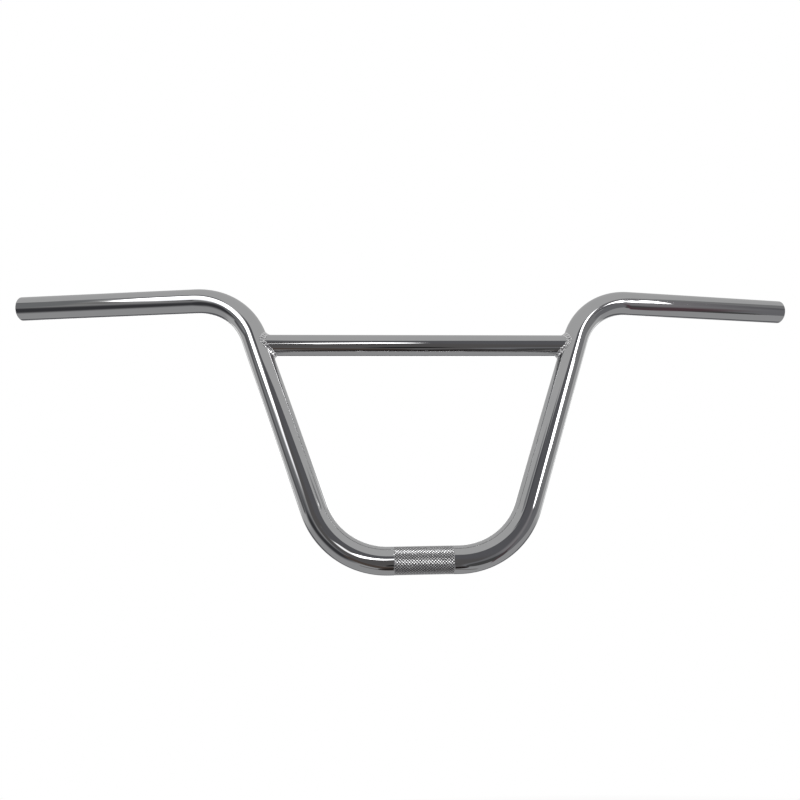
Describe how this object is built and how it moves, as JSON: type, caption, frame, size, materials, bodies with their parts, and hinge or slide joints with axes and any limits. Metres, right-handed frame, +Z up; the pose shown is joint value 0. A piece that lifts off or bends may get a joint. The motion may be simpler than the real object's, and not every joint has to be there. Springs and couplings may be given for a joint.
{
  "type": "bmx handlebar",
  "caption": "Steel BMX handlebar: a bent tube with upright sides, swept grips, a knurled stem clamp and a welded crossbar.",
  "frame": {"origin": "middle of the stem clamp, on the tube's axis", "axes": "+X along the width of the bar, +Y the way the grips sweep, +Z up from the stem clamp to the grips"},
  "size_m": [0.7438, 0.0588, 0.2682],
  "materials": {
    "chromed_tube": "mirror chrome plate",
    "chromed_weld": "chrome plate over rippled weld"
  },
  "bodies": {
    "root": {"main_tube": "chromed_tube", "crossbar": "chromed_tube", "weld_left": "chromed_weld", "weld_right": "chromed_weld"}
  },
  "joints": []
}
